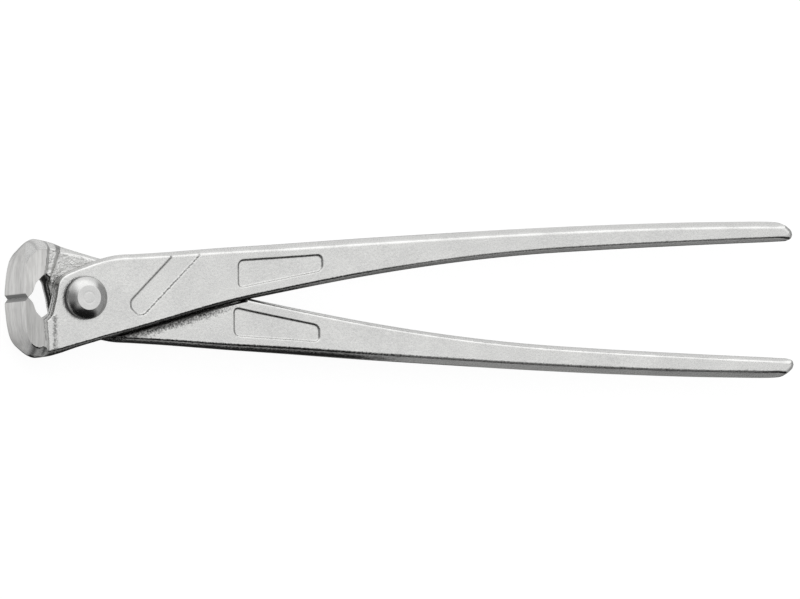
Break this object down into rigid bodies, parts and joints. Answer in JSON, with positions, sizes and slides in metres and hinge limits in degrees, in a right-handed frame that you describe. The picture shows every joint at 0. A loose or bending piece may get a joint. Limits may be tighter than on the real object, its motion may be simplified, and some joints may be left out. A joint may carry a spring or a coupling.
{
  "type": "rebar tying pliers",
  "caption": "High-leverage tying and cutting nippers for reinforcing wire: crossed forged levers on one rivet, broad end-cutting jaws and long bare handles.",
  "frame": {"origin": "centre of the bounding box's underside, with the closed tool lying on the flat sides of its jaws", "axes": "+X towards the handle tips, +Y towards the front lever's handle, +Z along the rivet, up from the surface that the tool lies on"},
  "size_m": [0.25, 0.0478, 0.0192],
  "materials": {
    "lever_steel": "bright zinc plating over forged steel, ground at the jaws",
    "rivet_steel": "bright zinc plating over a turned rivet"
  },
  "bodies": {
    "rear_half": {"rear_lever": "lever_steel", "joint_rivet": "rivet_steel"},
    "front_half": {"front_lever": "lever_steel"}
  },
  "joints": [
    {"name": "jaw_pivot", "type": "hinge", "parent": "rear_half", "child": "front_half", "pos_m": [-0.10455, 0, 0.0096], "axis": [0, 0, 1], "range_deg": [0, 45]}
  ]
}
